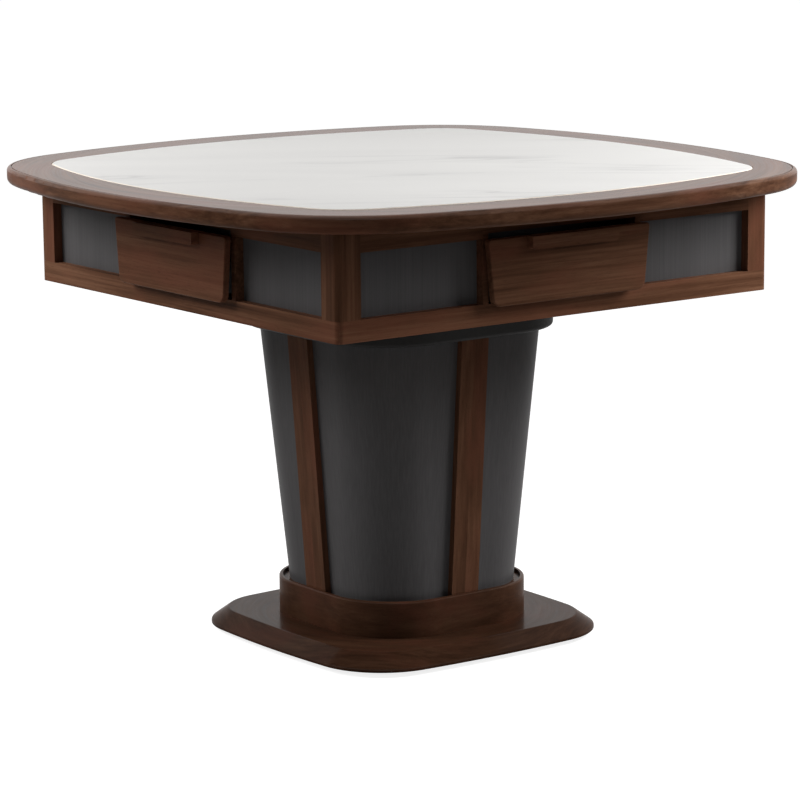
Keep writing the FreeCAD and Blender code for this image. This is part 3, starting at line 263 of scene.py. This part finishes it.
def charcoal(name, tone=1.0):
    """Charcoal stained veneer with fine upright lines."""
    recipe = Recipe(name, Specular_IOR_Level=0.03)
    lines = recipe.noise(recipe.place, LINE_SCALE, detail=4.0, roughness=0.6)
    broad = recipe.noise(recipe.place, BROAD_SCALE, detail=3.0)
    value = recipe.weighted((LINE_SHARE, lines), (BROAD_SHARE, broad))
    shades = (toned(colour, tone) for colour in (CHARCOAL_DARK, CHARCOAL_MID, CHARCOAL_LIGHT))
    colour = recipe.ramp(value, *zip(CHARCOAL_STOPS, shades))
    rough = recipe.step(lines, NOISE_RANGE, CHARCOAL_ROUGHNESS)
    return recipe.surface(colour, rough, lines, depth=0.00006, strength=0.20)


# Stone

STONE_SHADE, STONE_LIGHT = (0.655, 0.645, 0.630), (0.715, 0.705, 0.688)
STONE_STOPS = (0.34, 0.62)
HALO_GREY, HALO_WIDTH, HALO_STRENGTH = (0.54, 0.535, 0.53), 0.07, 0.34
VEIN_GREY, VEIN_WIDTH, VEIN_STRENGTH = (0.38, 0.37, 0.36), 0.014, 0.40
# Painted highlight: a light cream colour for the bevel round the stone's top
STONE_EDGE_HIGHLIGHT, EDGE_HIGHLIGHT_RANGE = (0.84, 0.76, 0.66), (0.75, 0.96)
VEIN_TURN = 0.64        # radians from the front side
VEIN_SCALE = (0.9, 5.5, 1.0)
CLOUD_SCALE = (1.1, 3.2, 1.0)
PATCH_SCALE, PATCH_RANGE = (2.4, 6.5, 1.0), (0.46, 0.62)
STONE_ROUGHNESS = (0.42, 0.50)


def stone(name):
    """Pale honed stone with a few long thin grey veins, and a painted cream highlight on the bevel
    round its top.
    """
    recipe = Recipe(name, Specular_IOR_Level=0.18)
    turned = recipe.node("ShaderNodeMapping", {"Vector": recipe.place,
                                               "Rotation": (0.0, 0.0, VEIN_TURN)})
    flow = turned.outputs[0]
    cloud = recipe.noise(flow, CLOUD_SCALE, detail=4.0, distortion=0.6)
    warp = recipe.noise(flow, VEIN_SCALE, detail=5.0, distortion=0.7)
    ridge = recipe.calc("ABSOLUTE", recipe.calc("SUBTRACT", warp, 0.5))
    patch = recipe.step(recipe.noise(flow, PATCH_SCALE, detail=2.0), PATCH_RANGE)
    colour = recipe.ramp(cloud, *zip(STONE_STOPS, (STONE_SHADE, STONE_LIGHT)))
    for grey, width, strength in ((HALO_GREY, HALO_WIDTH, HALO_STRENGTH),
                                  (VEIN_GREY, VEIN_WIDTH, VEIN_STRENGTH)):
        line = recipe.calc("MULTIPLY", recipe.step(ridge, (0.0, width), (strength, 0.0)), patch)
        colour = recipe.blend(line, colour, grey)
    # Painted highlight: faces that look less up than the top, such as the bevel and the sides, turn
    # light cream
    edge = recipe.step(recipe.upward(), EDGE_HIGHLIGHT_RANGE, (1.0, 0.0))
    colour = recipe.blend(edge, colour, STONE_EDGE_HIGHLIGHT)
    return recipe.surface(colour, recipe.step(cloud, NOISE_RANGE, STONE_ROUGHNESS))


# Plain materials

MOTTLE_STOPS = (0.35, 0.65)


def mottled(recipe, fine, broad, dark, light, roughness, depth, strength, stops=MOTTLE_STOPS):
    """Shade the colour by the broad noise, and the roughness and the relief by the fine one."""
    tint = recipe.ramp(broad, *zip(stops, (dark, light)))
    rough = recipe.step(fine, NOISE_RANGE, roughness)
    return recipe.surface(tint, rough, fine, depth, strength)


def plastic(name, colour, roughness, coat=0.0):
    """Moulded plastic with a faint mottle and a fine spark-eroded grain."""
    recipe = Recipe(name, Specular_IOR_Level=0.5, Coat_Weight=coat, Coat_Roughness=0.08)
    return mottled(recipe, fine=recipe.noise(recipe.place, scale=900.0, detail=2.0),
                   broad=recipe.noise(recipe.place, scale=22.0, detail=3.0),
                   dark=toned(colour, 0.86), light=toned(colour, 1.10),
                   roughness=(roughness - 0.05, roughness + 0.06), depth=0.00004, strength=0.2)


def metal(name, colour, roughness, lines=(4.0, 4.0, 260.0)):
    """Bare metal with fine turning or rolling lines."""
    recipe = Recipe(name, Metallic=1.0)
    return mottled(recipe, fine=recipe.noise(recipe.place, lines, detail=4.0),
                   broad=recipe.noise(recipe.place, scale=14.0, detail=3.0),
                   dark=toned(colour, 0.78), light=colour,
                   roughness=(roughness - 0.08, roughness + 0.12), depth=0.00004, strength=0.25)


def powder_coat(name, colour, roughness, specular=0.15):
    """Baked coat with the faint orange peel of powder."""
    recipe = Recipe(name, Specular_IOR_Level=specular)
    return mottled(recipe, fine=recipe.noise(recipe.place, scale=380.0, detail=2.0),
                   broad=recipe.noise(recipe.place, scale=9.0, detail=3.0),
                   dark=toned(colour, 0.8), light=colour,
                   roughness=(roughness - 0.06, roughness + 0.08), depth=0.0001, strength=0.3)


def rubber(name):
    """Black rubber, a little dusty."""
    recipe = Recipe(name, Specular_IOR_Level=0.3)
    return mottled(recipe, fine=recipe.noise(recipe.place, scale=700.0, detail=3.0),
                   broad=recipe.noise(recipe.place, scale=30.0, detail=4.0), stops=(0.4, 0.7),
                   dark=(0.018, 0.018, 0.018), light=(0.040, 0.039, 0.037),
                   roughness=(0.68, 0.85), depth=0.0001, strength=0.4)


PILE_SHARE, NAP_SHARE = 0.6, 0.4


def felt(name):
    """Short-piled cloth: fine mottled fibres and a sheen."""
    recipe = Recipe(name, Sheen_Weight=0.15, Sheen_Roughness=0.5, Specular_IOR_Level=0.1)
    pile = recipe.noise(recipe.place, scale=1300.0, detail=4.0, roughness=0.7)
    nap = recipe.noise(recipe.place, scale=(9.0, 5.0, 5.0), detail=5.0, distortion=0.6)
    return mottled(recipe, fine=pile, broad=recipe.weighted((PILE_SHARE, pile), (NAP_SHARE, nap)),
                   dark=(0.008, 0.060, 0.046), light=(0.020, 0.125, 0.098),
                   roughness=(0.85, 1.0), depth=0.0004, strength=0.6)


CLEAR_ROUGHNESS = (0.015, 0.05)


def clear(name):
    """Clear moulded plastic with a faint haze."""
    recipe = Recipe(name, Transmission_Weight=1.0, IOR=1.49, Base_Color=(0.94, 0.96, 0.97, 1.0))
    haze = recipe.noise(recipe.place, scale=60.0, detail=3.0)
    return recipe.surface(None, recipe.step(haze, NOISE_RANGE, CLEAR_ROUGHNESS))


BOARD_DARK, BOARD_LIGHT = (0.190, 0.120, 0.066), (0.345, 0.238, 0.142)
BOARD_STOPS = (0.32, 0.66)
BOARD_FLECK, FLECK_RANGE, FLECK_STRENGTH = (0.13, 0.080, 0.045), (0.62, 0.74), 0.5
BOARD_ROUGHNESS = (0.62, 0.78)


def bare_board(name):
    """Pale board with pressed fibres and a few darker flecks."""
    recipe = Recipe(name, Specular_IOR_Level=0.25)
    fibre = recipe.noise(recipe.place, scale=(34.0, 90.0, 160.0), detail=6.0, roughness=0.65)
    fleck = recipe.noise(recipe.place, scale=320.0, detail=3.0)
    tint = recipe.ramp(fibre, *zip(BOARD_STOPS, (BOARD_DARK, BOARD_LIGHT)))
    tint = recipe.blend(recipe.step(fleck, FLECK_RANGE, (0.0, FLECK_STRENGTH)), tint, BOARD_FLECK)
    rough = recipe.step(fibre, NOISE_RANGE, BOARD_ROUGHNESS)
    return recipe.surface(tint, rough, fibre, depth=0.0002, strength=0.4)


# What each piece is made of

WALNUT_AROUND = walnut("walnut_around", grain_around, tone=1.2)
BOARD = bare_board("bare_board")
BLACK_PLASTIC = plastic("black_plastic", (0.020, 0.020, 0.022), roughness=0.5)
GREY_PLASTIC = plastic("grey_plastic", (0.110, 0.112, 0.116), roughness=0.48)
LIFT_PLASTIC = plastic("lift_black", (0.028, 0.028, 0.030), roughness=0.4)
WHEEL_PLASTIC = plastic("wheel_cream", (0.52, 0.51, 0.47), roughness=0.4)
BUTTON_PLASTIC = plastic("button_amber", (0.45, 0.28, 0.06), roughness=0.28, coat=0.5)
BRASS = metal("turned_brass", (0.78, 0.56, 0.26), roughness=0.30)
STEEL = metal("plated_steel", (0.52, 0.52, 0.54), roughness=0.34)

FINISHES = {
    # base and pedestal
    "base_plate": walnut("walnut_base", grain_round, tone=0.50, contrast=0.7, polish=0.24,
                         slopes=0.45),
    "base_weight": powder_coat("cast_weight", (0.030, 0.030, 0.031), roughness=0.7),
    "base_glides": BLACK_PLASTIC,
    "collar_ring": walnut("walnut_collar", grain_round, tone=0.67, contrast=0.55, polish=0.25),
    "column_core": powder_coat("black_powder_coat", (0.016, 0.016, 0.017), roughness=0.56),
    "column_panels": charcoal("charcoal_veneer"),
    "column_strips": walnut("walnut_strip", grain_up, tone=1.12, contrast=0.55),
    "pedestal_head": powder_coat("head_coat", (0.019, 0.018, 0.0175), roughness=0.6,
                                 specular=0.10),
    "bolts": STEEL,
    # electrics in the head
    "power_supply": metal("folded_aluminium", (0.62, 0.63, 0.64), roughness=0.38,
                          lines=(260.0, 6.0, 6.0)),
    "control_unit": plastic("control_case", (0.030, 0.034, 0.040), roughness=0.42),
    "mains_inlet": BLACK_PLASTIC,
    "mains_switch": plastic("switch_red", (0.26, 0.014, 0.012), roughness=0.3, coat=0.3),
    # case
    "case_floor": BOARD, "board_supports": BOARD,
    "bottom_rails": walnut("walnut_rail", grain_around, tone=1.4),
    "top_rails": WALNUT_AROUND,
    "corner_posts": walnut("walnut_post", grain_up, tone=1.25, contrast=0.8),
    "apron_panels": charcoal("charcoal_apron", tone=1.14),
    "drawer_surrounds": WALNUT_AROUND, "drawer_runners": BLACK_PLASTIC,
    # playing board and what moves the tiles
    "playing_board": BOARD, "playing_felt": felt("green_felt"),
    "tile_wells": BLACK_PLASTIC, "lift_guides": BRASS, "lift_motors": STEEL,
    "drum": plastic("drum_plastic", (0.055, 0.055, 0.058), roughness=0.4),
    "drum_bearing": BRASS, "drum_housing": GREY_PLASTIC, "drum_motor": STEEL,
    "drive_roller": rubber("roller_rubber"), "pickup_motors": STEEL,
    # console
    "console_body": plastic("console_gloss", (0.016, 0.016, 0.018), roughness=0.18, coat=0.8),
    "console_dome": clear("clear_dome"),
    "dice_disc": plastic("disc_red", (0.30, 0.022, 0.018), roughness=0.4),
    "dice": plastic("dice_ivory", (0.78, 0.76, 0.70), roughness=0.22, coat=0.5),
    # dining cover
    "cover_rim": walnut("walnut_rim", grain_round, tone=1.08, polish=0.43),
    "cover_stone": stone("pale_stone"), "cover_board": BOARD,
    "cover_locators": rubber("locator_rubber"),
}
for side in SIDES:
    FINISHES["drawer_front_" + side] = WALNUT_AROUND
    FINISHES["drawer_box_" + side] = GREY_PLASTIC
    FINISHES["tile_lift_" + side] = LIFT_PLASTIC
    FINISHES["console_button_" + side] = BUTTON_PLASTIC
for corner in CORNERS:
    FINISHES["pickup_wheel_" + corner] = WHEEL_PLASTIC

for name, node in NODES.items():
    node.data.materials.clear()
    node.data.materials.append(FINISHES[name])


# Eased edges on what shows, in metres

EDGE_EASE = {
    "corner_posts": 0.0012, "bottom_rails": 0.0012, "top_rails": 0.0010,
    "drawer_surrounds": 0.0010, "column_strips": 0.0014, "base_plate": 0.0012,
    "apron_panels": 0.0005, "pedestal_head": 0.0008, "tile_wells": 0.0004,
    "playing_board": 0.0006,
}
for side in SIDES:
    EDGE_EASE["tile_lift_" + side] = 0.0006
    EDGE_EASE["console_button_" + side] = 0.0010
    EDGE_EASE["drawer_box_" + side] = 0.0006
EASE_STEPS = 3
SHARP_EDGE = math.radians(35)
SAME_POINT = 0.00001    # metres between points that are joined

# The base's faces are joined first, so that its edges can be eased
joined = NODES["base_plate"].modifiers.new("joined_faces", "WELD")
joined.merge_threshold = SAME_POINT
for name, width in EDGE_EASE.items():
    ease = NODES[name].modifiers.new("eased_edge", "BEVEL")
    ease.width = width
    ease.segments = EASE_STEPS
    ease.limit_method = "ANGLE"
    ease.angle_limit = SHARP_EDGE
    ease.harden_normals = True


# Even shading on the round edges, whose thin triangles would show

FULL_WEIGHT = 100
for name in ("cover_rim", "collar_ring", "base_plate"):
    even = NODES[name].modifiers.new("even_shading", "WEIGHTED_NORMAL")
    even.mode = "FACE_AREA"
    even.weight = FULL_WEIGHT
    even.keep_sharp = True


# Stage: pale floor, white world, soft lamps

FLOOR_HALF = 30.0       # metres
FLOOR_GREY = 0.45
FLOOR_GLOW = 0.84       # under the table, rising to 1 between the two distances
GLOW_NEAR = 1.0
GLOW_FAR = 2.4
WORLD_LIGHT = 0.016
CASE_MIDDLE = (0.0, 0.0, 0.55)
COVER_MIDDLE = (0.0, 0.0, 0.7)


def seen_directly(tree):
    """1 for what the camera sees itself, in gloss or through glass, and 0 for soft light."""
    path = tree.node("ShaderNodeLightPath").outputs
    either = tree.calc("MAXIMUM", path["Is Camera Ray"], path["Is Glossy Ray"])
    return tree.calc("MAXIMUM", either, path["Is Transmission Ray"])


def shown_or_lighting(tree, shown, lighting):
    """One shader where it is seen directly, and another for the light that it gives."""
    return tree.node("ShaderNodeMixShader",
                     {0: seen_directly(tree), 1: lighting, 2: shown}).outputs[0]


def floor_material():
    """Matt grey, with a glow to the eye that makes it white and leaves the table's shadow."""
    material = bpy.data.materials.new("pale_floor")
    tree = Tree(material)
    matt = tree.node("ShaderNodeBsdfDiffuse",
                     {"Color": (FLOOR_GREY, FLOOR_GREY, FLOOR_GREY, 1.0)}).outputs[0]
    place = tree.node("ShaderNodeTexCoord").outputs["Object"]
    reach = tree.node("ShaderNodeVectorMath", {0: place}, operation="LENGTH").outputs["Value"]
    level = tree.step(reach, (GLOW_NEAR, GLOW_FAR), (FLOOR_GLOW, 1.0))
    glow = tree.node("ShaderNodeEmission", {"Strength": level}).outputs[0]
    white = tree.node("ShaderNodeAddShader", {0: matt, 1: glow}).outputs[0]
    tree.node("ShaderNodeOutputMaterial", {"Surface": shown_or_lighting(tree, white, matt)})
    return material


def pale_floor():
    mesh = bpy.data.meshes.new("pale_floor")
    corners = [(x * FLOOR_HALF, y * FLOOR_HALF, 0.0)
               for x, y in ((-1, -1), (1, -1), (1, 1), (-1, 1))]
    mesh.from_pydata(corners, [], [(0, 1, 2, 3)])
    mesh.materials.append(floor_material())
    floor = bpy.data.objects.new("pale_floor", mesh)
    bpy.context.scene.collection.objects.link(floor)


def white_world():
    """White to the camera and to gloss, and weaker as a light."""
    world = bpy.data.worlds.new("studio")
    bpy.context.scene.world = world
    tree = Tree(world)
    white, soft = (tree.node("ShaderNodeBackground", {"Color": WHITE, "Strength": level}).outputs[0]
                   for level in (1.0, WORLD_LIGHT))
    tree.node("ShaderNodeOutputWorld", {"Surface": shown_or_lighting(tree, white, soft)})


def softbox(name, place, target, side, power, in_gloss=False):
    """A square lamp. The reflection of those at the sides would whiten the stone and the rim."""
    lamp = bpy.data.lights.new(name, "AREA")
    lamp.shape = "SQUARE"
    lamp.size = side
    lamp.energy = power
    item = bpy.data.objects.new(name, lamp)
    bpy.context.scene.collection.objects.link(item)
    item.location = place
    aim = Vector(target) - Vector(place)
    item.rotation_euler = aim.to_track_quat("-Z", "Y").to_euler()
    item.visible_glossy = in_gloss


pale_floor()
white_world()
softbox("left_softbox", (-1.243, 1.043, 1.48), CASE_MIDDLE, side=0.8, power=13.5)
softbox("right_softbox", (1.22, -1.12, 1.38), CASE_MIDDLE, side=0.8, power=31.5)
softbox("far_left_softbox", (-2.75, 1.20, 2.2), CASE_MIDDLE, side=1.2, power=40.0)
softbox("far_right_softbox", (2.2, -1.0, 2.1), CASE_MIDDLE, side=0.8, power=14.0)
softbox("front_softbox", (-1.9, -2.6, 1.9), CASE_MIDDLE, side=1.6, power=7.5, in_gloss=True)
softbox("top_softbox", (-0.9, 0.3, 3.2), COVER_MIDDLE, side=2.4, power=17.5, in_gloss=True)


# Camera at the photograph's viewing angle

VIEW_AZIMUTH = math.radians(-36.441)
VIEW_PITCH = math.radians(11.260)
VIEW_ROLL = math.radians(-0.514)
VIEW_DISTANCE = 5.3425
VIEW_TARGET = Vector((0.0, 0.0, 0.30583))
FOCAL_PIXELS = 3346.42
IMAGE_PIXELS = 800.0
CENTRE_X = 400.16
CENTRE_Y = 441.96
SENSOR_WIDTH = 36.0     # millimetres


def add_camera():
    """A camera that looks at the target from the photograph's side, rolled as the photograph is."""
    back = Vector((math.sin(VIEW_AZIMUTH) * math.cos(VIEW_PITCH),
                   -math.cos(VIEW_AZIMUTH) * math.cos(VIEW_PITCH), math.sin(VIEW_PITCH)))
    level_right = (-back).cross(Vector((0, 0, 1))).normalized()
    level_up = level_right.cross(-back)
    right = level_right * math.cos(VIEW_ROLL) + level_up * math.sin(VIEW_ROLL)
    up = level_up * math.cos(VIEW_ROLL) - level_right * math.sin(VIEW_ROLL)
    data = bpy.data.cameras.new("camera")
    data.sensor_width = SENSOR_WIDTH
    data.lens = FOCAL_PIXELS * SENSOR_WIDTH / IMAGE_PIXELS
    data.shift_x = (IMAGE_PIXELS / 2 - CENTRE_X) / IMAGE_PIXELS
    data.shift_y = (CENTRE_Y - IMAGE_PIXELS / 2) / IMAGE_PIXELS
    camera = bpy.data.objects.new("camera", data)
    bpy.context.scene.collection.objects.link(camera)
    turn = Matrix((right, up, back)).transposed()
    camera.matrix_world = Matrix.Translation(VIEW_TARGET + back * VIEW_DISTANCE) @ turn.to_4x4()
    bpy.context.scene.camera = camera


add_camera()
bpy.context.scene.view_settings.view_transform = "Standard"
